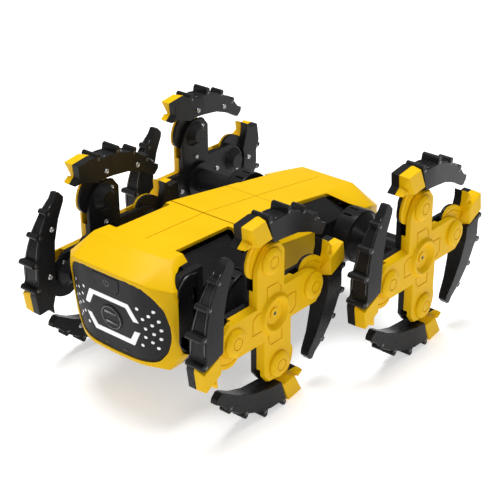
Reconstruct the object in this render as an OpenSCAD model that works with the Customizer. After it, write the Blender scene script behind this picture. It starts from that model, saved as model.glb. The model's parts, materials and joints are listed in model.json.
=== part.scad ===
// Hexapod spider robot: a low wedge-shaped body on four wheels, each wheel a
// cross of four arms with a pivoting curved claw at the end of every arm.
// +Z is up, the face looks along -Y, and the origin is on the ground in the
// middle of the robot. Outlines are in wheel units: one unit is the distance
// from an axle to the claw pivots.

/* [Wheels] */
// Distance from an axle to the claw pivots, the unit of every outline
unit = 30; // [28:0.5:32]
// Height of the axles above the ground
hub_z = 55.2; // [54.9:0.1:55.5]
// Distance between the front and rear axles
wheelbase = 95.6; // [95:0.2:97]
// Outer face of the front wheels from the middle plane
front_track = 63.5; // [63:0.5:66]
// Outer face of the rear wheels from the middle plane
rear_track = 85.7; // [84:0.1:88]

/* [Claws] */
// Radius of the pin that a claw turns on
pin_r = 2.4; // [2:0.1:2.6]
// Half width of a grip bar on a claw
lug_r = 1.5; // [1.2:0.1:1.8]

/* [Body] */
// Wall thickness of the covers
wall = 2; // [1.6:0.2:2.4]
// Thickness of the face panel
panel_t = 2; // [1.6:0.2:2.4]
// Travel of the power button
button_travel = 1.2; // [0.8:0.2:1.6]

/* [Fits] */
// Radial clearance of a turning pin or axle in its bore
run_gap = 0.05; // [0.03:0.01:0.08]
// Gap between moving plates
plate_gap = 0.3; // [0.2:0.05:0.4]

/* [Hidden] */
$fn = 64;

// Layers of a wheel, along X from the outer face (0) inwards
boss_top = 0;
hub_top = -0.4;
claw_top = -0.3;
arm_top = -2.4;
slot_top = -4.8;
claw_seam = -6.6;
arm_seam = -7.2;
slot_bottom = -8.7;
arm_bottom = -10.8;
claw_bottom = -11.4;
inner_boss_end = -15;

pivot = [-0.10, 1.0];
slot_r = 0.56;
heel_r = 0.5;
knuckle_r = 0.27;
boss_r = 0.24;
boss_top_r = 0.17;
boss_ring_r = 0.10;
boss_side = 1.2;
inner_boss_r = 0.26;
inner_boss_top_r = 0.14;
mark_depth = 0.4;
heel_groove_r = 0.41;
pin_end_out = -1.5;
pin_end_in = -13.5;
pin_floor = 0.3;

hub_ring_r = 0.38;
hub_recess_r = 0.22;
hub_bore_r = 4;
shaft_r = 0.23 * unit;
journal_r = 5;
tip_r = 3;

// Grip bars of a claw: angle past the arm's direction
lug_angles = [-6, 9.5, 25, 39.5];
lug_outer = [0, 0, 1.825, 1.79];
// The first two bars stand on the ground together
function lug_centre(i) =
    lug_outer[i] == 0 ? (hub_z - lug_r) / cos(lug_angles[i])
                      : lug_outer[i] * unit - lug_r;

hub_y = wheelbase / 2;

// Arm of a wheel, pointing up
arm_outline = [
    [-0.46, 0], [-0.46, 0.92], [-0.39, 1.07], [-0.31, 1.19], [-0.17, 1.285],
    [0, 1.29], [0.15, 1.27], [0.28, 1.10], [0.28, 0]
];
arm_face = [
    [-0.43, 0], [-0.43, 0.91], [-0.365, 1.055], [-0.29, 1.165],
    [-0.16, 1.255], [0, 1.26], [0.135, 1.24], [0.25, 1.09], [0.25, 0]
];

// Engraved tab beside the hub, one on every arm
mark_outline = [
    [-0.20, 0.30], [-0.20, 0.56], [0.09, 0.56], [0.17, 0.45], [0.17, 0.30]
];
mark_inside = [
    [-0.178, 0.28], [-0.178, 0.538], [0.078, 0.538], [0.148, 0.44],
    [0.148, 0.28]
];

// Root of a claw, at the seam between its two halves
root_outline = [
    [-0.66, 1.76], [-0.31, 1.81], [-0.25, 1.80], [-0.11, 1.345],
    [-0.22, 1.31], [-0.61, 1.43], [-0.64, 1.535]
];
root_facet = [[-0.65, 1.75], [-0.31, 1.80], [-0.14, 1.43], [-0.46, 1.39]];
lip_outline = [
    [-0.64, 1.535], [-0.75, 1.44], [-0.76, 1.42], [-0.61, 1.43],
    [-0.50, 1.40]
];
lip_ridge = [[-0.63, 1.50], [-0.74, 1.425], [-0.58, 1.44]];
tread_r = 1.73;
tread_inner = [
    [1.40, 1.10], [1.38, 1.02], [1.28, 0.94], [1.20, 0.96], [0.93, 1.12],
    [0.56, 1.26], [0.15, 1.33], [-0.11, 1.345], [-0.25, 1.80]
];
// Seen from above, a tread narrows towards its tip: (X, Y), X in mm
tread_plan = [
    [claw_top, -1], [claw_top, 0.15], [-4.0, 1.45], [-7.7, 1.45],
    [claw_bottom, 0.15], [claw_bottom, -1]
];

// Body sections: [y, top z, top half width, shoulder x, shoulder z,
//                 lower side z, bottom half width, bottom z]
sec_nose = [-2.77, 1.05, 0.855, 1.21, 0.66, -0.55, 1.0, -0.83];
sec_seam = [-1.03, 0.985, 0.767, 1.12, 0.56, -0.50, 0.95, -0.83];
sec_waist = [0.70, 0.77, 0.68, 1.12, 0.33, -0.45, 0.95, -0.83];
sec_tail = [2.23, 0.56, 0.60, 1.20, 0.30, -0.35, 0.95, -0.80];
sec_end = [2.47, 0.515, 0.59, 1.12, 0.20, -0.40, 0.90, -0.79];
sec_rear = [2.70, 0.22, 0.55, 1.02, 0.10, -0.35, 0.80, -0.50];

// Face: a plane that leans back, with its outer parts curved away
face_flat_x = 0.45;
face_slope = 0.129;
function face_y(x, z) =
    -3.289 - face_slope * (z + 0.058)
    + 0.24 * pow(max(0, abs(x) - face_flat_x) / 0.66, 2);
rim_lift = 0.02;

rim_half = [
    [0, 0.865], [0.83, 0.85], [1.06, 0.53], [1.18, 0.1], [1.17, -0.25],
    [1.08, -0.52], [0.95, -0.70], [0.78, -0.79], [0, -0.83]
];
panel_half = [
    [0, 0.79], [0.62, 0.79], [0.80, 0.71], [0.94, 0.57], [1.06, 0.355],
    [1.115, 0.09], [1.11, -0.2], [1.03, -0.47], [0.905, -0.645],
    [0.76, -0.70], [0.4, -0.74], [0, -0.75]
];
panel_fit = 0.995;
nose_ring = [
    [1.17, -3.05, 0.68], [1.22, -3.0, 0.5], [1.22, -2.95, -0.5],
    [1.0, -3.0, -0.83], [0, -2.9, 1.08]
];

// Light brackets of the face, upper and lower
bracket_upper = [
    [-0.61, 0.03], [-0.44, 0.34], [0.44, 0.34], [0.61, 0.03], [0.50, 0.03],
    [0.37, 0.25], [-0.37, 0.25], [-0.50, 0.03]
];
bracket_lower = [
    [-0.61, -0.16], [-0.45, -0.46], [0.45, -0.46], [0.61, -0.16],
    [0.50, -0.16], [0.38, -0.36], [-0.38, -0.36], [-0.50, -0.16]
];
bracket_lift = 0.2;
emblem_r = 0.235;
emblem_z = -0.07;

// Speaker holes of one side of the face
speaker_holes = [
    [0.61, 0.31], [0.69, 0.13], [0.72, -0.05], [0.70, -0.22], [0.62, -0.40],
    [0.80, 0.21], [0.84, 0.04], [0.85, -0.13], [0.81, -0.30],
    [0.89, 0.31], [0.95, 0.13], [0.97, -0.04], [0.95, -0.21], [0.89, -0.40]
];
speaker_hole_r = 1.05;

// Power button flap, in the face's own plane
button_outline = [
    [-0.29, 0.73], [0.29, 0.73], [0.27, 0.53], [0.20, 0.44], [-0.20, 0.44],
    [-0.27, 0.53]
];
button_gap = 1.03;
button_z = 0.585;

// Side openings of the covers, seen from the side
cut_x = 0.67;
arch_front = -2.98;
arch_r = 0.36;
arch_top = 0.92;
arch_bottom = -0.60;
front_cut = concat(
    [[-2.45, 1.3], [-2.45, arch_top]],
    arc([arch_front + arch_r, arch_top - arch_r], arch_r, 95, 180, 10),
    arc([arch_front + arch_r, arch_bottom + arch_r], arch_r, 180, 270, 10),
    [[-1.155, arch_bottom], [-1.155, 1.3]]
);
// Dish in the side pod, just inside the arch of the cover
dish_gap = 0.07;
dish = concat(
    arc([arch_front + arch_r, arch_top - arch_r - 0.08], arch_r - dish_gap,
        90, 180, 10),
    arc([arch_front + arch_r, arch_bottom + arch_r], arch_r - dish_gap,
        180, 270, 10),
    [[-2.42, arch_bottom + dish_gap], [-2.42, 0.78]]
);
front_dish = [for (p = front_cut) [min(p[0], -2.3), min(p[1], 0.86)]];
dish_rim_x = 1.13;
dish_floor_x = 1.05;
dish_back_x = 0.98;
rear_cut = [
    [0.65, 1.3], [0.65, -0.60], [2.20, -0.60], [2.24, 0.20], [1.79, 0.45],
    [1.50, 0.68], [1.50, 1.3]
];
lower_split_z = -0.25;
chin_y = -2.74;
cover_seam_y = -1.03;
seam_gap = 0.014;
groove_half = 0.007;
groove_depth = 0.017;
crease_y = 0.35;

// Side pods of the lower shell: [y, top inner x, top inner z, outer x,
//                                shoulder z, lower z]
pod_front = [
    [-2.46, 0.66, 0.90, 1.14, 0.50, -0.58],
    [-1.17, 0.66, 0.86, 1.14, 0.50, -0.58]
];
pod_rear = [
    [0.67, 0.66, 0.70, 1.14, 0.40, -0.58],
    [1.48, 0.66, 0.60, 1.14, 0.36, -0.58],
    [2.17, 0.66, 0.12, 1.14, 0.02, -0.58]
];
pod_wall_x = 1.14;

front_housing_r = 0.54;
front_housing_x = 1.44;
front_cone_x = 1.58;
rear_housing_r = 0.50;
rear_housing_x = 1.53;
rear_cone_x = 1.70;
housing_tube_r = 0.28;
housing_inner_x = 0.72;
cone_end_r = 0.27;

// Inner parts, in millimetres from the axle height
belly_z = -0.83 * unit;
motor_x = [5, 19.8];
motor_size_y = 26;
motor_z = [-11, 10];
can_r = 7;
can_l = 12;
plate_t = 2;
deck_z = -4.4;
floor_z = -13;
box_half = [28, 31];
box_z = [-21, -4.6];
cell_r = 7.1;
cell_l = 50;
cell_pitch = 14.6;
hatch_half = [26, 29];
screw_xy = [21, 62];

front_hub = [front_track, -hub_y, hub_z];
rear_hub = [rear_track, hub_y, hub_z];

WHEELS = [
    ["front_right", 1, front_hub, front_cone_x],
    ["front_left", -1, front_hub, front_cone_x],
    ["rear_right", 1, rear_hub, rear_cone_x],
    ["rear_left", -1, rear_hub, rear_cone_x]
];
CLAWS = ["top", "rear", "bottom", "front"];

function arc(centre, r, a0, a1, steps) = [
    for (i = [0 : steps])
        centre + r * [cos(a0 + (a1 - a0) * i / steps),
                      sin(a0 + (a1 - a0) * i / steps)]
];
// Cuts every corner of a closed outline at a quarter of its sides
function softened(p) = [
    for (i = [0 : len(p) - 1])
        let (q = p[(i + 1) % len(p)])
        each [0.8 * p[i] + 0.2 * q, 0.2 * p[i] + 0.8 * q]
];
function both_sides(half) = concat(
    half, [for (i = [len(half) - 2 : -1 : 1]) [-half[i][0], half[i][1]]]
);

// A plate between two X positions, its outline in wheel units as (Y, Z)
module slab(x0, x1, outline) {
    translate([x0, 0, 0]) rotate([90, 0, 90])
        linear_extrude(x1 - x0) polygon(unit * outline);
}

// A rod along X
module rod(x0, x1, r) {
    translate([x0, 0, 0]) rotate([0, 90, 0]) cylinder(h = x1 - x0, r = r);
}

// A cone along X
module cone(x0, x1, r0, r1) {
    translate([x0, 0, 0]) rotate([0, 90, 0])
        cylinder(h = x1 - x0, r1 = r0, r2 = r1);
}

module solid_of(points) {
    hull() polyhedron(points = unit * points,
                      faces = [[for (i = [0 : len(points) - 1]) i]]);
}

module on_side(side) {
    if (side > 0) {
        children();
    } else {
        mirror([1, 0, 0]) children();
    }
}

module at_pivot() {
    translate([0, pivot[0] * unit, pivot[1] * unit]) children();
}

module four_arms() {
    for (k = [0 : 3]) {
        rotate([-90 * k, 0, 0]) children();
    }
}

// ---- wheels ----

// Room for a claw's knuckle between the two plates of an arm; a wall stays
// on the side of the arm that the claw never crosses
module claw_slot(x0, x1) {
    wall_y = pivot[0] + knuckle_r + 0.02;
    difference() {
        at_pivot() rod(x0, x1, slot_r * unit);
        translate([x0 - 1, wall_y * unit, 0])
            cube([x1 - x0 + 2, unit, unit]);
    }
}

// A fine ring groove in a face that looks outwards
module groove_ring(face, r, depth) {
    difference() {
        rod(face - depth, face + 1, r + 0.25);
        rod(face - depth - 1, face + 2, r - 0.25);
    }
}

module wheel_cover() {
    difference() {
        union() {
            four_arms() {
                hull() {
                    slab(arm_seam, slot_top, arm_outline);
                    slab(arm_top - 0.5, arm_top, arm_face);
                }
                at_pivot() {
                    rod(arm_top - 0.5, boss_top - boss_side, boss_r * unit);
                    cone(boss_top - boss_side, boss_top, boss_r * unit,
                         boss_top_r * unit);
                }
            }
            cone(arm_top - 0.5, hub_top, hub_ring_r * unit,
                 (hub_ring_r - 0.06) * unit);
        }
        four_arms() {
            claw_slot(arm_seam - 1, slot_top);
            at_pivot() rod(slot_top - 1, pin_end_out + pin_floor,
                           pin_r + run_gap);
        }
        four_arms() {
            at_pivot() groove_ring(boss_top, boss_ring_r * unit, 0.5);
            difference() {
                slab(arm_top - mark_depth, arm_top + 0.1, mark_outline);
                slab(arm_top - 1, arm_top + 1, mark_inside);
                rod(arm_top - 1, boss_top, hub_ring_r * unit);
            }
        }
        difference() {
            cone(arm_top - 0.4, hub_top + 0.1, (hub_recess_r - 0.02) * unit,
                 (hub_recess_r + 0.06) * unit);
            rod(arm_top - 1, arm_top + 0.2, 0.1 * unit);
        }
        rod(arm_seam - 1, arm_top + 1, 0.9);
    }
}

module wheel_frame() {
    difference() {
        union() {
            four_arms() {
                slab(arm_bottom, arm_seam, arm_outline);
                at_pivot() cone(inner_boss_end, arm_bottom + 0.5,
                                inner_boss_top_r * unit,
                                inner_boss_r * unit);
            }
        }
        four_arms() {
            claw_slot(slot_bottom, arm_seam + 1);
            at_pivot() rod(pin_end_in - pin_floor, slot_bottom + 1,
                           pin_r + run_gap);
        }
        rod(arm_bottom - 1, arm_seam + 1, hub_bore_r);
    }
}

// Axle: hub spigot, flange, shaft, journal in the housing and drive tip
module axle(track, cone_x) {
    inner_face = arm_bottom;
    housing_face = cone_x * unit - track;
    housing_back = housing_inner_x * unit - track;
    rod(inner_face - 0.5, arm_seam - 0.3, hub_bore_r);
    rod(inner_face - 2.4, inner_face, hub_ring_r * unit);
    rod(housing_face + plate_gap, inner_face - 2, shaft_r);
    rod(housing_back - 1, housing_face + 1, journal_r);
    rod(motor_x[1] - 5 - track, housing_back, tip_r);
}

module lug(i) {
    rc = lug_centre(i);
    rotate([-lug_angles[i], 0, 0]) translate([0, 0, rc]) {
        rod(claw_bottom + 0.2, claw_top - 0.2, lug_r);
        translate([claw_bottom + 0.2, -lug_r, -3])
            cube([claw_top - claw_bottom - 0.4, 2 * lug_r, 3]);
    }
}

// Knuckle plate of a claw, turning between the plates of the arm
module knuckle(x0, x1, a0) {
    sector = concat(
        [pivot], arc(pivot, heel_r, a0, 178, 14),
        arc(pivot + [-0.28, -0.01], heel_r - 0.28, 190, 260, 5)
    );
    slab(x0, x1, sector);
    at_pivot() rod(x0, x1, (knuckle_r - 0.02) * unit);
}

module claw_cover() {
    difference() {
        union() {
            hull() {
                slab(claw_seam, claw_seam + 1, root_outline);
                slab(claw_top - 0.1, claw_top, root_facet);
            }
            hull() {
                slab(claw_seam, claw_seam + 2.4, lip_outline);
                slab(claw_top - 1.6, claw_top - 1.5, lip_ridge);
            }
            knuckle(claw_seam, slot_top - plate_gap, 100);
        }
        at_pivot() {
            rod(claw_seam - 1, claw_top + 1, pin_r);
            intersection() {
                groove_ring(slot_top - plate_gap, heel_groove_r * unit, 0.5);
                translate([-20, -unit, -unit]) cube([40, 0.9 * unit, unit * 1.3]);
            }
        }
    }
}

module claw_foot() {
    slab(claw_bottom, claw_seam, root_outline);
    slab(claw_bottom, claw_seam, lip_outline);
    intersection() {
        union() {
            slab(claw_bottom, claw_top,
                 concat(arc([0, 0], tread_r, 93, 42, 12), tread_inner));
            for (i = [0 : 3]) {
                lug(i);
            }
        }
        linear_extrude(3 * unit)
            polygon([for (p = tread_plan) [p[0], p[1] * unit]]);
    }
    knuckle(slot_bottom + plate_gap, claw_seam, 80);
    at_pivot() rod(pin_end_in, pin_end_out, pin_r);
}

// ---- body ----

// Corners of one body section, drawn in by an inset
function section(s, inset) = [
    for (m = [-1, 1]) each [
        [m * (s[2] - inset * 0.6), s[0], s[1] - inset],
        [m * (s[3] - inset), s[0], s[4] - inset * 0.4],
        [m * (s[3] - inset), s[0], s[5] + inset * 0.4],
        [m * (s[6] - inset * 0.6), s[0], s[7] + inset]
    ]
];
function moved(s, dy) = concat([s[0] + dy], [for (i = [1 : 7]) s[i]]);

function rim_points(lift) = [
    for (p = softened(softened(both_sides(rim_half))))
        [p[0], face_y(p[0], p[1]) - lift, p[1]]
];
function nose_points() = concat(
    rim_points(rim_lift),
    [for (m = [-1, 1]) for (p = nose_ring) [m * p[0], p[1], p[2]]]
);

module body_form(inset) {
    gap = inset / unit;
    if (inset == 0) {
        solid_of(concat(nose_points(), section(sec_nose, 0)));
    } else {
        solid_of(concat(section(moved(sec_nose, -0.22), 2.4 * gap),
                        section(sec_nose, gap)));
    }
    solid_of(concat(section(sec_nose, gap), section(sec_seam, gap)));
    solid_of(concat(section(sec_seam, gap), section(sec_waist, gap)));
    solid_of(concat(section(sec_waist, gap), section(sec_tail, gap),
                    section(moved(sec_end, -gap), gap),
                    section(moved(sec_rear, -gap), gap)));
}

module side_cuts(outline, clearance) {
    for (m = [0, 1]) {
        mirror([m, 0, 0])
            slab((cut_x + clearance) * unit, 2 * unit, outline);
    }
}

module face_opening() {
    translate([0, -2.9 * unit, 0]) rotate([90, 0, 0])
        linear_extrude(unit)
            polygon(unit * softened(softened(both_sides(panel_half))));
}

// Everything above and in front of the join with the lower shell
module upper_half() {
    translate([-2 * unit, -4 * unit, -2 * unit])
        cube([4 * unit, (4 + chin_y) * unit, 4 * unit]);
    translate([-2 * unit, -3.9 * unit, lower_split_z * unit])
        cube([4 * unit, 7 * unit, 2 * unit]);
}

// A fine groove in the top of a cover, from one point to another
module groove(a, b) {
    along_x = abs(b[0] - a[0]) > abs(b[1] - a[1]);
    side = along_x ? [0, groove_half, 0] : [groove_half, 0, 0];
    up = [0, 0, 0.1];
    down = [0, 0, -groove_depth];
    solid_of([for (p = [a, b]) for (m = [-1, 1]) for (h = [up, down])
              p + m * side + h]);
}

module front_cover() {
    color("gold") difference() {
        intersection() {
            body_form(0);
            upper_half();
        }
        body_form(wall);
        face_opening();
        side_cuts(front_cut, 0);
        translate([-2 * unit, (cover_seam_y - seam_gap) * unit, -unit])
            cube([4 * unit, 5 * unit, 3 * unit]);
        groove([0, -2.45, 1.036], [0, cover_seam_y, 0.985]);
    }
}

module rear_cover() {
    color("gold") difference() {
        intersection() {
            body_form(0);
            upper_half();
        }
        body_form(wall);
        side_cuts(rear_cut, 0);
        translate([-2 * unit, (cover_seam_y + seam_gap - 4) * unit, -unit])
            cube([4 * unit, 4 * unit, 3 * unit]);
        groove([0, cover_seam_y, 0.985], [0, 0.7, 0.77]);
        groove([0, 0.7, 0.77], [0, 2.2, 0.563]);
        groove([-0.72, crease_y, 0.813], [0.72, crease_y, 0.813]);
    }
}

function pod_section(p, inset) = [
    [0.5, p[0], p[2] - inset], [p[1], p[0], p[2] - inset],
    [p[3] - inset, p[0], p[4] - inset * 0.4],
    [p[3] - inset, p[0], p[5] + inset * 0.4],
    [0.85, p[0], -0.6 - inset], [0.5, p[0], -0.6 - inset]
];
module pod(sections, inset) {
    gap = inset / unit;
    solid_of([for (p = sections) each pod_section(p, gap)]);
}

// Hollow of the lower shell: the tray, the middle of the body and the pods
module shell_core() {
    ledge = lower_split_z * unit - wall;
    intersection() {
        body_form(wall);
        union() {
            plate(cut_x * unit, -3 * unit, 3 * unit, -unit, 2 * unit);
            plate(0.99 * unit, -3 * unit, 3 * unit, -unit,
                  lower_split_z * unit);
            plate(2 * unit, chin_y * unit - 1, 3 * unit, -unit, ledge);
        }
    }
    for (m = [0, 1]) {
        mirror([m, 0, 0]) {
            pod(pod_front, wall);
            pod(pod_rear, wall);
        }
    }
}

module lower_shell() {
    color("dimgray") difference() {
        union() {
            intersection() {
                body_form(0);
                translate([-2 * unit, chin_y * unit, -2 * unit])
                    cube([4 * unit, 6 * unit,
                          (lower_split_z + 2) * unit]);
            }
            for (m = [0, 1]) {
                mirror([m, 0, 0]) {
                    intersection() {
                        union() {
                            pod(pod_front, 0);
                            slab(dish_back_x * unit, dish_rim_x * unit,
                                 front_dish);
                        }
                        side_cuts(front_cut, 0);
                    }
                    intersection() {
                        pod(pod_rear, 0);
                        side_cuts(rear_cut, 0);
                    }
                }
            }
        }
        shell_core();
        for (m = [0, 1]) {
            mirror([m, 0, 0]) {
                slab(dish_floor_x * unit, 1.3 * unit, dish);
                translate([0, -hub_y, 0]) {
                    rod(0, 2 * unit, housing_tube_r * unit);
                    rod(pod_wall_x * unit - 0.3, 2 * unit,
                        front_housing_r * unit);
                }
                translate([0, hub_y, 0]) {
                    rod(0, 2 * unit, housing_tube_r * unit);
                    rod(pod_wall_x * unit - 0.3, 2 * unit,
                        rear_housing_r * unit);
                }
            }
        }
        translate([-hatch_half[0], -hatch_half[1], belly_z - 1])
            cube([2 * hatch_half[0], 2 * hatch_half[1], 8]);
        screws_at() {
            translate([0, 0, belly_z - 1]) cylinder(h = 2.8, r = 2.8);
            translate([0, 0, belly_z - 1]) cylinder(h = 8, r = 1.5);
        }
    }
}

module screws_at() {
    for (x = [-1, 1]) {
        for (y = [-1, 1]) {
            translate([x * screw_xy[0], y * screw_xy[1], 0]) children();
        }
    }
}

// Slab that follows the curve of the face, from one depth to another
module face_layer(front, back) {
    xs = [-1.15, -1.0, -0.85, -0.7, -0.55, -face_flat_x, face_flat_x,
          0.55, 0.7, 0.85, 1.0, 1.15];
    multmatrix([[1, 0, 0, 0], [0, 1, -face_slope, 0], [0, 0, 1, 0],
                [0, 0, 0, 1]])
        translate([0, 0, -unit]) linear_extrude(2 * unit) polygon(concat(
            [for (x = xs) [x * unit, face_y(x, 0) * unit + front]],
            [for (i = [len(xs) - 1 : -1 : 0])
                [xs[i] * unit, face_y(xs[i], 0) * unit + back]]
        ));
}

module face_prism(outline) {
    translate([0, -2.8 * unit, 0]) rotate([90, 0, 0])
        linear_extrude(unit) polygon(unit * outline);
}

module face_holes() {
    for (m = [-1, 1]) {
        for (p = speaker_holes) {
            translate([m * p[0] * unit, -2.8 * unit, p[1] * unit])
                rotate([90, 0, 0])
                cylinder(h = unit, r = speaker_hole_r, $fn = 24);
        }
    }
}

module face_panel() {
    color("darkslategray") difference() {
        intersection() {
            face_layer(0, panel_t);
            face_prism(panel_fit
                       * softened(softened(both_sides(panel_half))));
        }
        face_prism(bracket_upper);
        face_prism(bracket_lower);
        translate([0, 0, button_z * unit * (1 - button_gap)])
            face_prism(button_gap * button_outline);
        face_holes();
    }
    color("gray") intersection() {
        face_layer(-0.5, 0);
        translate([0, -2.8 * unit, emblem_z * unit]) rotate([90, 0, 0])
            cylinder(h = unit, r = emblem_r * unit);
    }
}

module light_guide() {
    color("white") for (outline = [bracket_upper, bracket_lower]) {
        intersection() {
            face_layer(-bracket_lift, panel_t);
            face_prism(outline);
        }
    }
}

module power_button() {
    color("dimgray") intersection() {
        face_layer(-0.2, panel_t + button_travel);
        face_prism(button_outline);
    }
}

module plate(x, y0, y1, z0, z1) {
    translate([-x, y0, z0]) cube([2 * x, y1 - y0, z1 - z0]);
}

module chassis() {
    deck_y = box_half[1] + 1;
    color("dimgray") difference() {
        union() {
            plate(22, -84, -deck_y, floor_z, floor_z + plate_t);
            plate(22, deck_y, 70, floor_z, floor_z + plate_t);
            plate(22, -deck_y - plate_t, deck_y + plate_t, deck_z,
                  deck_z + plate_t);
            for (y = [-deck_y - plate_t, deck_y]) {
                plate(22, y, y + plate_t, floor_z, deck_z + plate_t);
            }
            for (x = [-16, 16]) {
                for (y = [-22, 22]) {
                    translate([x, y, deck_z + plate_t])
                        cylinder(h = 3, r = 2);
                }
            }
        }
        screws_at() translate([0, 0, floor_z - 1]) cylinder(h = 4, r = 1.3);
    }
}

module housing(r, x_end, x_cone) {
    difference() {
        union() {
            rod(pod_wall_x * unit, x_end * unit - 1, r * unit);
            cone(x_end * unit - 1, x_cone * unit, (r - 0.04) * unit,
                 cone_end_r * unit);
            rod(housing_inner_x * unit, pod_wall_x * unit,
                housing_tube_r * unit);
        }
        rod(0, 2 * unit, journal_r + run_gap);
        for (a = [-24, 0, 24]) {
            rotate([a, 0, 0])
                translate([(pod_wall_x + 0.05) * unit, -0.7, (r - 0.04) * unit])
                cube([0.18 * unit, 1.4, unit]);
        }
    }
}

module front_axle_housings() {
    color("dimgray") for (side = [-1, 1]) {
        on_side(side) translate([0, -hub_y, 0])
            housing(front_housing_r, front_housing_x, front_cone_x);
    }
}

module rear_axle_housings() {
    color("dimgray") for (side = [-1, 1]) {
        on_side(side) translate([0, hub_y, 0])
            housing(rear_housing_r, rear_housing_x, rear_cone_x);
    }
}

module gear_motor(away) {
    difference() {
        translate([motor_x[0], -motor_size_y / 2, motor_z[0]])
            cube([motor_x[1] - motor_x[0], motor_size_y,
                  motor_z[1] - motor_z[0]]);
        rod(motor_x[1] - 5.5, motor_x[1] + 1, tip_r + run_gap);
    }
    translate([(motor_x[0] + motor_x[1]) / 2, away * motor_size_y / 2, 0])
        rotate([-90 * away, 0, 0]) cylinder(h = can_l, r = can_r);
}

module gear_motors() {
    color("silver") for (side = [-1, 1]) {
        on_side(side) {
            translate([0, -hub_y, 0]) gear_motor(-1);
            translate([0, hub_y, 0]) gear_motor(1);
        }
    }
}

module battery_box() {
    inner = 1.4;
    color("black") difference() {
        plate(box_half[0], -box_half[1], box_half[1], box_z[0], box_z[1]);
        plate(box_half[0] - inner, -box_half[1] + inner,
              box_half[1] - inner, box_z[0] - 1, box_z[1] - 1.3);
    }
}

module battery_cells() {
    color("silver") for (i = [-1.5, -0.5, 0.5, 1.5]) {
        translate([0, i * cell_pitch, box_z[1] - 1.4 - cell_r])
            rod(-cell_l / 2, cell_l / 2, cell_r);
    }
}

module battery_cover() {
    cover_gap = 0.2;
    tab = hatch_half[1] + 1.2;
    tab_z = belly_z + wall + 0.4;
    color("dimgray") {
        plate(hatch_half[0] - cover_gap, -hatch_half[1] + cover_gap,
              hatch_half[1] - cover_gap, belly_z, tab_z + 0.2);
        plate(10, -tab, tab, tab_z, tab_z + 1.2);
    }
}

module circuit_board() {
    board_z = deck_z + plate_t + 3;
    color("seagreen") {
        plate(20, -26, 26, board_z, board_z + 1.6);
        plate(6, -8, 6, board_z + 1.6, board_z + 3.4);
        translate([8, 12, board_z + 1.6]) cube([6, 9, 5]);
        translate([-14, -20, board_z + 1.6]) cube([5, 7, 6]);
    }
}

module speaker() {
    color("black") for (side = [-1, 1]) {
        translate([side * 19, -84, 0]) rotate([90, 0, 0]) difference() {
            cylinder(h = 6, r = 9.5);
            translate([0, 0, 4]) cylinder(h = 3, r1 = 4, r2 = 8.5);
        }
    }
}

module body_screws() {
    color("silver") screws_at() {
        translate([0, 0, belly_z]) cylinder(h = 1.8, r = 2.6);
        translate([0, 0, belly_z]) cylinder(h = 13, r = 1.3);
    }
}

module on_wheel(w) {
    hub = w[2];
    on_side(w[1]) translate(hub) children();
}

module at_axles() {
    translate([0, 0, hub_z]) children();
}

module wheel_nodes(w) {
    color("gold") on_wheel(w) wheel_cover();
    color("dimgray") on_wheel(w) wheel_frame();
    color("dimgray") on_wheel(w) axle(w[2][0], w[3]);
    for (k = [0 : 3]) {
        color("gold") on_wheel(w) rotate([-90 * k, 0, 0]) claw_cover();
        color("dimgray") on_wheel(w) rotate([-90 * k, 0, 0]) claw_foot();
    }
}

at_axles() front_cover();
at_axles() rear_cover();
at_axles() lower_shell();
at_axles() face_panel();
at_axles() light_guide();
at_axles() chassis();
at_axles() front_axle_housings();
at_axles() rear_axle_housings();
at_axles() gear_motors();
at_axles() battery_box();
at_axles() battery_cells();
at_axles() battery_cover();
at_axles() circuit_board();
at_axles() speaker();
at_axles() body_screws();
at_axles() power_button();
for (w = WHEELS) wheel_nodes(w);
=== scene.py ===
"""Looks of the hexapod spider robot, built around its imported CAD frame."""
import json
import math

import bmesh
import bpy
from mathutils import Matrix, Vector


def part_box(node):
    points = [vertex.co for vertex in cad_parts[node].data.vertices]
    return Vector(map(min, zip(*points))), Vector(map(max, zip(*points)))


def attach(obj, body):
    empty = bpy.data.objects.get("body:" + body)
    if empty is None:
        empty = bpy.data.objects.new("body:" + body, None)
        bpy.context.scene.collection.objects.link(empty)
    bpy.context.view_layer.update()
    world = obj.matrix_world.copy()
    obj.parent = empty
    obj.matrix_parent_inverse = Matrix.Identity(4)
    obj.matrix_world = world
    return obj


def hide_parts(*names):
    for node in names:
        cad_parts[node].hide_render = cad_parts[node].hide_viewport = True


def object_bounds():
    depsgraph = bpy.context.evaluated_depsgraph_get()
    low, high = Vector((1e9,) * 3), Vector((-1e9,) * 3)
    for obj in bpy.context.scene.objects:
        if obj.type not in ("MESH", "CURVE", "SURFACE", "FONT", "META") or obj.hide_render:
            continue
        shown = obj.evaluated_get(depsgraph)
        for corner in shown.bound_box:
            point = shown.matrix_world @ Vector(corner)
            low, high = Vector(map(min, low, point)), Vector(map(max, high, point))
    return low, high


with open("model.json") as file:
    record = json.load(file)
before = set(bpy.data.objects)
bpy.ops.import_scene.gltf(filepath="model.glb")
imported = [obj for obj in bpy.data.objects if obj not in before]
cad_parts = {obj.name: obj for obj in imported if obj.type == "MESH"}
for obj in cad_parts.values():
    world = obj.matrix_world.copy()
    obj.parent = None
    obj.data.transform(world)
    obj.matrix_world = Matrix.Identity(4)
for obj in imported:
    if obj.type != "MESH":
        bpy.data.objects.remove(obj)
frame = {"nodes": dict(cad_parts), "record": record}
cad_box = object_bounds()

MM = 0.001
UNIT = 30 * MM                      # axle to claw pivot, as in the part's source
WHEELS = ("front_right", "front_left", "rear_right", "rear_left")
CLAWS = ("top", "rear", "bottom", "front")
HUB_Z = (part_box("front_right_axle")[0].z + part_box("front_right_axle")[1].z) / 2
SLOT_OF = {s["node"]: s["material_slot"] for s in frame["record"]["subparts"]}
BODY_OF = {n: b for b, ns in frame["record"]["behaviour"]["bodies"].items() for n in ns}


# ---- materials ----

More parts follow.
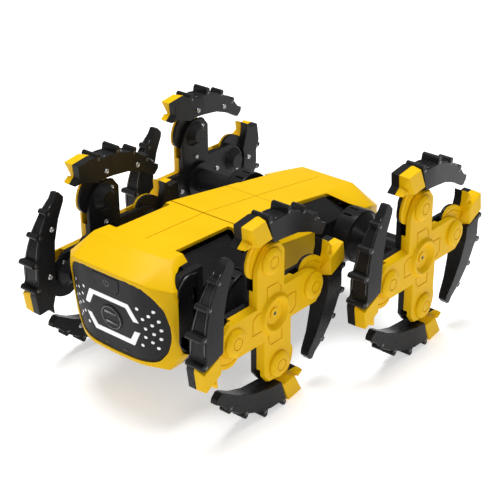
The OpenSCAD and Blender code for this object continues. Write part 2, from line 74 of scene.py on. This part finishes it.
class Nodes:
    """Short helpers around one material's node tree."""

    def __init__(self, name):
        self.material = bpy.data.materials.new(name)
        self.material.use_nodes = True
        self.tree = self.material.node_tree
        self.shader = self.tree.nodes["Principled BSDF"]
        self.coords = self.add("ShaderNodeTexCoord")

    def add(self, kind, **values):
        node = self.tree.nodes.new(kind)
        for key, value in values.items():
            setattr(node, key, value)
        return node

    def link(self, a, b):
        self.tree.links.new(a, b)

    def noise(self, scale, detail=3.0, roughness=0.5):
        node = self.add("ShaderNodeTexNoise")
        node.inputs["Scale"].default_value = scale
        node.inputs["Detail"].default_value = detail
        node.inputs["Roughness"].default_value = roughness
        self.link(self.coords.outputs["Object"], node.inputs["Vector"])
        return node.outputs["Fac"]

    def ramp(self, fac, stops):
        node = self.add("ShaderNodeValToRGB")
        while len(node.color_ramp.elements) < len(stops):
            node.color_ramp.elements.new(0.5)
        for element, (at, color) in zip(node.color_ramp.elements, stops):
            element.position = at
            element.color = (*color, 1)
        self.link(fac, node.inputs["Fac"])
        return node.outputs["Color"]

    def spread(self, fac, low, high):
        node = self.add("ShaderNodeMapRange")
        node.inputs["To Min"].default_value = low
        node.inputs["To Max"].default_value = high
        self.link(fac, node.inputs["Value"])
        return node.outputs["Result"]

    def bump(self, height, strength, distance):
        node = self.add("ShaderNodeBump")
        node.inputs["Strength"].default_value = strength
        node.inputs["Distance"].default_value = distance
        self.link(height, node.inputs["Height"])
        self.link(node.outputs["Normal"], self.shader.inputs["Normal"])

    def set(self, **values):
        for key, value in values.items():
            self.shader.inputs[key.replace("_", " ")].default_value = value


def moulded(name, dark, light, rough, grain, coat, shine=0.2):
    """Moulded plastic: slight colour drift, fine spark-eroded grain, worn sheen."""
    m = Nodes(name)
    m.link(m.ramp(m.noise(35, 4), [(0.3, dark), (0.7, light)]),
           m.shader.inputs["Base Color"])
    m.link(m.spread(m.noise(180, 5, 0.65), rough - 0.07, rough + 0.07),
           m.shader.inputs["Roughness"])
    m.bump(m.noise(2600, 2), grain, 0.00008)
    m.set(Coat_Weight=coat, Coat_Roughness=0.25, Specular_IOR_Level=shine)
    return m.material


# White light-guide plastic with a painted glow: a faint emission brightens it beyond its
# lighting.
def painted_glow_white(name, color, strength):
    m = Nodes(name)
    m.link(m.ramp(m.noise(120), [(0.2, color), (0.8, (0.98, 0.98, 0.98))]),
           m.shader.inputs["Base Color"])
    m.link(m.spread(m.noise(300), 0.25, 0.4), m.shader.inputs["Roughness"])
    # Faint emission: painted glow on these white parts, which give no light to the scene.
    m.set(Emission_Color=(1, 1, 1, 1), Emission_Strength=strength)
    return m.material


def metal(name, dark, light, rough):
    m = Nodes(name)
    m.link(m.ramp(m.noise(400, 4), [(0.3, dark), (0.7, light)]),
           m.shader.inputs["Base Color"])
    m.link(m.spread(m.noise(900, 4), rough - 0.08, rough + 0.1),
           m.shader.inputs["Roughness"])
    m.bump(m.noise(1500, 2), 0.15, 0.00005)
    m.set(Metallic=1.0)
    return m.material


MATERIALS = {
    "yellow_abs": moulded("yellow_plastic", (0.78, 0.465, 0.001), (0.84, 0.50, 0.002),
                          0.42, 0.25, 0.0, 0.1),
    "black_abs": moulded("black_plastic", (0.011, 0.011, 0.012), (0.018, 0.018, 0.019),
                         0.28, 0.25, 0.0, 0.12),
    "face_charcoal": moulded("charcoal_face", (0.016, 0.016, 0.017),
                             (0.022, 0.022, 0.023), 0.5, 0.4, 0.0, 0.12),
    "gloss_black": moulded("gloss_black", (0.015, 0.015, 0.016), (0.022, 0.022, 0.024),
                           0.2, 0.1, 0.6, 0.5),
    # Speaker light parts: white with a painted glow from faint emission.
    "light_white": painted_glow_white("white_light", (0.80, 0.80, 0.80), 0.12),
    "screw_steel": metal("screw_steel", (0.42, 0.42, 0.43), (0.6, 0.6, 0.6), 0.3),
    "zinc_steel": metal("zinc_steel", (0.5, 0.5, 0.5), (0.62, 0.62, 0.63), 0.35),
    "board_green": moulded("board_green", (0.01, 0.12, 0.04), (0.02, 0.16, 0.06),
                           0.3, 0.2, 0.2),
}


# ---- meshes ----

SAME_PLACE = 2e-6                   # metres within which corners are one
FLAT_DEGREES = 0.5                  # faces that bend less than this are one
SMOOTH_DEGREES = 35
ROOM_FOR_ROUNDING = 2.2             # widths of rounding that an edge has to hold


def new_piece(name, bm, body, slot, look=None):
    """An object of a body, in its record's slot; look names another material to show."""
    mesh = bpy.data.meshes.new(name)
    bm.to_mesh(mesh)
    bm.free()
    piece = bpy.data.objects.new(name, mesh)
    bpy.context.scene.collection.objects.link(piece)
    mesh.materials.append(MATERIALS[look or slot])
    for face in mesh.polygons:
        face.use_smooth = True
    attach(piece, body)
    return piece


def clean_copy(node):
    """A node's mesh with shared corners, and its flat faces made whole again."""
    source = frame["nodes"][node].data
    bm = bmesh.new()
    corners = [bm.verts.new(v.co) for v in source.vertices]
    for face in source.polygons:
        bm.faces.new([corners[i] for i in face.vertices])
    bmesh.ops.remove_doubles(bm, verts=bm.verts, dist=SAME_PLACE)
    bmesh.ops.dissolve_limit(bm, angle_limit=math.radians(FLAT_DEGREES), verts=bm.verts,
                             edges=bm.edges, use_dissolve_boundaries=False)
    bmesh.ops.connect_verts_concave(bm, faces=bm.faces)
    bm.normal_update()
    return bm


def roundable(bm, width, angle):
    """Sharp edges with room for a rounding of this width at both ends."""
    sharp = {e for e in bm.edges if len(e.link_faces) == 2
             and e.calc_face_angle() > math.radians(angle)}
    short = {e for e in sharp if e.calc_length() <= ROOM_FOR_ROUNDING * width}
    return [e for e in bm.edges if e in sharp and e not in short
            and not any(n in short for v in e.verts for n in v.link_edges)]


def soften(node, width, segments=2, angle=24, look=None):
    """Replaces a CAD node with the same shape, its edges rounded as moulded."""
    bm = clean_copy(node)
    bmesh.ops.bevel(bm, geom=roundable(bm, width, angle), offset=width, offset_type="OFFSET",
                    segments=segments, profile=0.5, affect="EDGES",
                    clamp_overlap=False, miter_outer="ARC")
    piece = new_piece(node + ".look", bm, BODY_OF[node], SLOT_OF[node], look)
    bpy.context.view_layer.objects.active = piece
    piece.select_set(True)
    bpy.ops.object.shade_smooth_by_angle(angle=math.radians(SMOOTH_DEGREES))
    piece.select_set(False)
    weigh = piece.modifiers.new("normals", "WEIGHTED_NORMAL")
    weigh.keep_sharp = True
    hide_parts(node)


for node, thing in frame["nodes"].items():
    thing.data.materials.clear()
    thing.data.materials.append(MATERIALS[SLOT_OF[node]])

for node in ("front_cover", "rear_cover"):
    soften(node, 0.45 * MM, 2, 30)
for wheel in WHEELS:
    soften(wheel + "_wheel_cover", 0.35 * MM)
    soften(wheel + "_wheel_frame", 0.35 * MM)
    soften(wheel + "_axle", 0.4 * MM)
    for claw in CLAWS:
        soften(f"{wheel}_{claw}_claw_cover", 0.3 * MM)
        soften(f"{wheel}_{claw}_claw_foot", 0.3 * MM)
for node in ("lower_shell", "front_axle_housings", "rear_axle_housings"):
    soften(node, 0.4 * MM)
for node in ("face_panel", "light_guide"):
    soften(node, 0.15 * MM)
soften("power_button", 0.15 * MM, look="face_charcoal")


# ---- small fittings ----

def cross_screw(bm, matrix, r, dome=0.35, depth=0.45):
    """Domed screw head with a cross recess, built on z = 0 and looking along +Z."""
    steps = 24
    arm, half = 0.62 * r, 0.17 * r
    rings = []
    for rr, z in ((r, 0.0), (r, 0.25 * r), (0.9 * r, (0.25 + 0.5 * dome) * r),
                  (0.72 * r, (0.25 + dome) * r)):
        rings.append([bm.verts.new(matrix @ Vector((rr * math.cos(i * math.tau / steps),
                                                    rr * math.sin(i * math.tau / steps), z)))
                      for i in range(steps)])
    for low, high in zip(rings, rings[1:]):
        for i in range(steps):
            j = (i + 1) % steps
            bm.faces.new((low[i], low[j], high[j], high[i]))
    top_z = (0.25 + dome) * r
    cross = [(arm, -half), (arm, half), (half, half), (half, arm), (-half, arm),
             (-half, half), (-arm, half), (-arm, -half), (-half, -half),
             (-half, -arm), (half, -arm), (half, -half)]
    rim = [bm.verts.new(matrix @ Vector((x, y, top_z))) for x, y in cross]
    base = [bm.verts.new(matrix @ Vector((0.8 * x, 0.8 * y, top_z - depth * r)))
            for x, y in cross]
    edges = []
    for loop in (rings[-1], rim):
        for i, v in enumerate(loop):
            w = loop[(i + 1) % len(loop)]
            edges.append(bm.edges.get((v, w)) or bm.edges.new((v, w)))
    bmesh.ops.triangle_fill(bm, use_beauty=True, edges=edges)
    for i in range(12):
        j = (i + 1) % 12
        bm.faces.new((rim[i], rim[j], base[j], base[i]))
    bm.faces.new(base)


def lathe(bm, matrix, profile, steps=24):
    """Turns (radius, z) points round Z; the last point closes on the axis."""
    rings = [[bm.verts.new(matrix @ Vector((r * math.cos(i * math.tau / steps),
                                            r * math.sin(i * math.tau / steps), z)))
              for i in range(steps)] for r, z in profile[:-1]]
    tip = bm.verts.new(matrix @ Vector((0, 0, profile[-1][1])))
    for low, high in zip(rings, rings[1:]):
        for i in range(steps):
            j = (i + 1) % steps
            bm.faces.new((low[i], low[j], high[j], high[i]))
    for i in range(steps):
        bm.faces.new((rings[-1][i], rings[-1][(i + 1) % steps], tip))


def ribbon(bm, path, side, width, height, up):
    """A low rib with sloping flanks along a path; side and up are functions of the step."""
    rows = []
    for i, p in enumerate(path):
        s, u = side(i), up(i)
        rows.append([bm.verts.new(p + s * (width * k / 2) + u * (height * h))
                     for k, h in ((-1, -0.3), (-0.6, 1), (0.6, 1), (1, -0.3))])
    for a, b in zip(rows, rows[1:]):
        for k in range(3):
            bm.faces.new((a[k], a[k + 1], b[k + 1], b[k]))
        bm.faces.new((a[3], a[0], b[0], b[3]))
    bm.faces.new(rows[0][::-1])
    bm.faces.new(rows[-1])


class Wheel:
    """Places things on a wheel: depth in mm inwards from its outer face, y and z in units.

    turn counts quarter turns from the top claw towards the rear.
    """

    def __init__(self, name):
        self.name = name
        low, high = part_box(name + "_wheel_cover")
        self.side = 1 if high.x > 0 else -1
        self.outer = max(high.x, -low.x)
        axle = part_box(name + "_axle")
        self.y = (axle[0].y + axle[1].y) / 2

    def point(self, turn, depth, y, z):
        for _ in range(turn):
            y, z = z, -y
        return Vector((self.side * (self.outer - depth * MM),
                       self.y + y * UNIT, HUB_Z + z * UNIT))

    def facing(self, turn, depth, y, z, outwards=True):
        """Frame whose Z looks out of the wheel (or towards the body)."""
        along = Vector((self.side if outwards else -self.side, 0, 0))
        up = Vector((0, 0, 1))
        axes = Matrix((up.cross(along), up, along)).transposed().to_4x4()
        return Matrix.Translation(self.point(turn, depth, y, z)) @ axes


def polar(r, degrees):
    """(y, z) of a point at an angle from straight up, towards the rear."""
    a = math.radians(degrees)
    return r * math.sin(a), r * math.cos(a)


CLAW_OUTER, CLAW_INNER = 0.3, 11.4  # mm from the wheel's outer face
ARM_INNER = 10.8
HUB_FLOOR = 2.9
TREAD_R = 1.73
RIB_STEPS = 17
LUG_ANGLES = (-6, 9.5, 25, 39.5)
LUG_R = (1.80, 1.815, 1.775, 1.74)


def tread_edge(y, outer):
    """Depth in mm of a tread's side at y, as the claw narrows towards its tip."""
    narrowed = 3.7 * max(0.0, (y - 0.15) / 1.3)
    return CLAW_OUTER + narrowed if outer else CLAW_INNER - narrowed


def dress_claw(wheel, turn, claw):
    body = BODY_OF[f"{wheel.name}_{claw}_claw_foot"]
    stem = f"{wheel.name}_{claw}_claw"
    bm = bmesh.new()
    angles = [-2 + 2.9 * i for i in range(RIB_STEPS)]
    for share in (0.12, 0.88):          # of the way across the tread
        path = []
        for a in angles:
            y, z = polar(TREAD_R, a)
            near, far = tread_edge(y, True), tread_edge(y, False)
            path.append(wheel.point(turn, near + (far - near) * share, y, z))
        hub = wheel.point(0, 0, 0, 0)
        ups = [Vector((0, p.y - hub.y, p.z - hub.z)).normalized() for p in path]
        ribbon(bm, path, lambda i: Vector((1, 0, 0)), 0.7 * MM, 0.35 * MM,
               lambda i: ups[i])
    new_piece(stem + "_ribs", bm, body, "black_abs", "gloss_black")
    bm = bmesh.new()
    for angle, r in zip(LUG_ANGLES, LUG_R):
        y, z = polar(r - 0.05, angle)
        for outwards in (True, False):
            depth = tread_edge(y, outwards) + (0.35 if outwards else -0.35)
            lathe(bm, wheel.facing(turn, depth, y, z, outwards),
                  [(1.15 * MM, 0), (1.1 * MM, 0.3 * MM), (0.7 * MM, 0.55 * MM),
                   (0, 0.62 * MM)], 16)
    new_piece(stem + "_lug_ends", bm, body, "black_abs", "gloss_black")
    bm = bmesh.new()
    for y, z in ((-0.02, 1.47), (0.80, 1.30)):
        depth = tread_edge(y, False) + (0 if y < 0.15 else -0.1)
        cross_screw(bm, wheel.facing(turn, depth, y, z, False), 1.5 * MM)
    new_piece(stem + "_screws", bm, body, "screw_steel")


def dress_wheel(name):
    wheel = Wheel(name)
    body = BODY_OF[name + "_wheel_cover"]
    bm = bmesh.new()
    for turn in range(4):
        cross_screw(bm, wheel.facing(turn, ARM_INNER, -0.08, 0.52, False), 1.5 * MM)
        cross_screw(bm, wheel.facing(turn, ARM_INNER, 0.12, 1.12, False), 1.1 * MM)
    new_piece(name + "_frame_screws", bm, body, "screw_steel")
    bm = bmesh.new()
    cross_screw(bm, wheel.facing(0, HUB_FLOOR, 0, 0), 1.3 * MM)
    new_piece(name + "_hub_screw", bm, body, "screw_steel", "gloss_black")
    for turn, claw in enumerate(CLAWS):
        dress_claw(wheel, turn, claw)


for wheel in WHEELS:
    dress_wheel(wheel)


# ---- face ----

SPEAKER_HOLES = ((0.61, 0.31), (0.69, 0.13), (0.72, -0.05), (0.70, -0.22),
                 (0.62, -0.40), (0.80, 0.21), (0.84, 0.04), (0.85, -0.13),
                 (0.81, -0.30), (0.89, 0.31), (0.95, 0.13), (0.97, -0.04),
                 (0.95, -0.21), (0.89, -0.40))
FACE_TILT = 0.129


def face_frame(x, z, lift=0.0):
    """Frame on the face panel at x, z in units; its Z looks out of the face."""
    bow = max(0.0, abs(x) - 0.45) / 0.66
    y = -3.289 - FACE_TILT * (z + 0.058) + 0.24 * bow * bow
    slope = 2 * 0.24 * bow / 0.66 * (1 if x > 0 else -1)
    out = Vector((slope, -1, -FACE_TILT)).normalized()
    right = Vector((1, slope, 0)).normalized()
    up = out.cross(right)
    axes = Matrix((right, up, out)).transposed().to_4x4()
    place = Vector((x * UNIT, y * UNIT, z * UNIT + HUB_Z)) + out * lift
    return Matrix.Translation(place) @ axes


def arc_band(bm, matrix, radius, width, height, first, last, steps=20):
    """A raised flat band along an arc, lying on z = 0."""
    path = [Vector((radius * math.cos(math.radians(first + (last - first) * i / steps)),
                    radius * math.sin(math.radians(first + (last - first) * i / steps)),
                    0)) for i in range(steps + 1)]
    turn = matrix.to_3x3()
    ribbon(bm, [matrix @ p for p in path], lambda i: turn @ path[i].normalized(),
           width, height, lambda i: turn @ Vector((0, 0, 1)))


def bar(bm, matrix, a, b, width, height):
    """A straight raised bar from a to b, (x, y) in metres on the matrix's plane."""
    turn = matrix.to_3x3()
    ends = [matrix @ Vector((*a, 0)), matrix @ Vector((*b, 0))]
    across = (ends[1] - ends[0]).normalized().cross(turn @ Vector((0, 0, 1)))
    ribbon(bm, ends, lambda i: across, width, height, lambda i: turn @ Vector((0, 0, 1)))


def dress_face():
    bm = bmesh.new()
    for x, z in SPEAKER_HOLES:
        for side in (-1, 1):
            lathe(bm, face_frame(side * x, z, -0.6 * MM),
                  [(0.98 * MM, 0), (0.98 * MM, 0.35 * MM), (0.75 * MM, 0.5 * MM),
                   (0, 0.55 * MM)], 20)
    new_piece("speaker_lights", bm, "root", "light_white")
    bm = bmesh.new()
    emblem = face_frame(0, -0.07, 0.5 * MM)
    arc_band(bm, emblem, 6.3 * MM, 0.7 * MM, 0.25 * MM, 0, 360, 48)
    for z in (-2.9, 2.9):
        reach = math.sqrt(5.0 ** 2 - z * z)
        bar(bm, emblem, (-reach * MM, z * MM), (reach * MM, z * MM), 2.0 * MM, 0.3 * MM)
    new_piece("emblem_bars", bm, "root", "black_abs", "gloss_black")
    bm = bmesh.new()
    for side in (-1, 1):
        at = face_frame(side * 0.21, -0.655, 0.02 * MM)
        bar(bm, at, (-1.5 * MM, 0.25 * MM), (1.5 * MM, -0.1 * MM), 0.9 * MM, 0.25 * MM)
    new_piece("face_catches", bm, "root", "black_abs", "gloss_black")
    bm = bmesh.new()
    icon = face_frame(0, 0.60, 0.05 * MM)
    arc_band(bm, icon, 1.7 * MM, 0.42 * MM, 0.18 * MM, 125, 415)
    bar(bm, icon, (0, 0.5 * MM), (0, 2.2 * MM), 0.42 * MM, 0.18 * MM)
    new_piece("power_icon", bm, "power_button", "black_abs", "gloss_black")


dress_face()


def arch_lips():
    """Glossy raised lip of each front side pod, following the cover's arch."""
    for side in (-1, 1):
        flat = [(-2.46, 0.80)]
        for centre, first in (((-2.62, 0.50), 95), ((-2.62, -0.24), 180)):
            for i in range(11):
                a = math.radians(first + (90 if first == 180 else 85) * i / 10)
                flat.append((centre[0] + 0.32 * math.cos(a), centre[1] + 0.32 * math.sin(a)))
        flat.append((-2.46, -0.56))
        path = [Vector((side * 1.135 * UNIT, y * UNIT, HUB_Z + z * UNIT)) for y, z in flat]
        out = Vector((side, 0, 0))
        last = len(path) - 1

        def across(i):
            return (path[min(i + 1, last)] - path[max(i - 1, 0)]).normalized().cross(out)

        bm = bmesh.new()
        ribbon(bm, path, across, 1.5 * MM, 0.7 * MM, lambda i: out)
        new_piece(("left", "right")[side > 0] + "_arch_lip", bm, "root", "black_abs",
                  "gloss_black")


arch_lips()


# ---- floor, light and camera ----

def area_light(name, place, target, size, power):
    data = bpy.data.lights.new(name, "AREA")
    data.shape = "DISK"
    data.size = size
    data.energy = power
    lamp = bpy.data.objects.new(name, data)
    lamp.location = place
    lamp.rotation_euler = (Vector(target) - Vector(place)).to_track_quat(
        "-Z", "Y").to_euler()
    bpy.context.scene.collection.objects.link(lamp)


def make_floor():
    mesh = bpy.data.meshes.new("floor")
    far = 3.0
    mesh.from_pydata([(-far, -far, 0), (far, -far, 0), (far, far, 0), (-far, far, 0)],
                     [], [(0, 1, 2, 3)])
    floor = bpy.data.objects.new("floor", mesh)
    bpy.context.scene.collection.objects.link(floor)
    floor.location.z = cad_box[0].z
    m = Nodes("floor_white")
    m.link(m.ramp(m.noise(3), [(0.3, (0.86, 0.86, 0.86)), (0.7, (0.88, 0.88, 0.88))]),
           m.shader.inputs["Base Color"])
    m.set(Roughness=0.6, Specular_IOR_Level=0.2, Emission_Color=(1, 1, 1, 1),
          Emission_Strength=0.5)
    mesh.materials.append(m.material)


def make_camera():
    """Looks at the robot from its front right, a little above."""
    back = Vector((0.5773, -0.6787, 0.4540)).normalized()
    right = Vector((0.7617, 0.6479, 0)).normalized()
    up = back.cross(right)
    data = bpy.data.cameras.new("camera")
    data.lens = 96.1
    data.sensor_width = 36
    data.clip_end = 20
    camera = bpy.data.objects.new("camera", data)
    bpy.context.scene.collection.objects.link(camera)
    axes = Matrix((right, up, back)).transposed().to_4x4()
    place = Vector((13.959, -16.221, 10.770)) * UNIT + Vector((0, 0, HUB_Z))
    camera.matrix_world = (Matrix.Translation(place) @ axes
                           @ Matrix.Rotation(math.radians(-0.277), 4, "Z"))
    bpy.context.scene.camera = camera


def light_scene():
    world = bpy.data.worlds.new("studio")
    bpy.context.scene.world = world
    world.use_nodes = True
    world.node_tree.nodes["Background"].inputs["Color"].default_value = (1, 1, 1, 1)
    world.node_tree.nodes["Background"].inputs["Strength"].default_value = 0.22
    area_light("key", (-0.15, 0.1, 1.2), (0, 0, 0.05), 0.7, 15)
    area_light("right", (1.1, -0.3, 0.75), (0, 0, 0.05), 0.5, 2.5)
    area_light("front", (-0.6, -1.1, 0.5), (0, 0, 0.05), 0.4, 1.2)
    bpy.context.scene.view_settings.view_transform = "Standard"


make_floor()
make_camera()
light_scene()
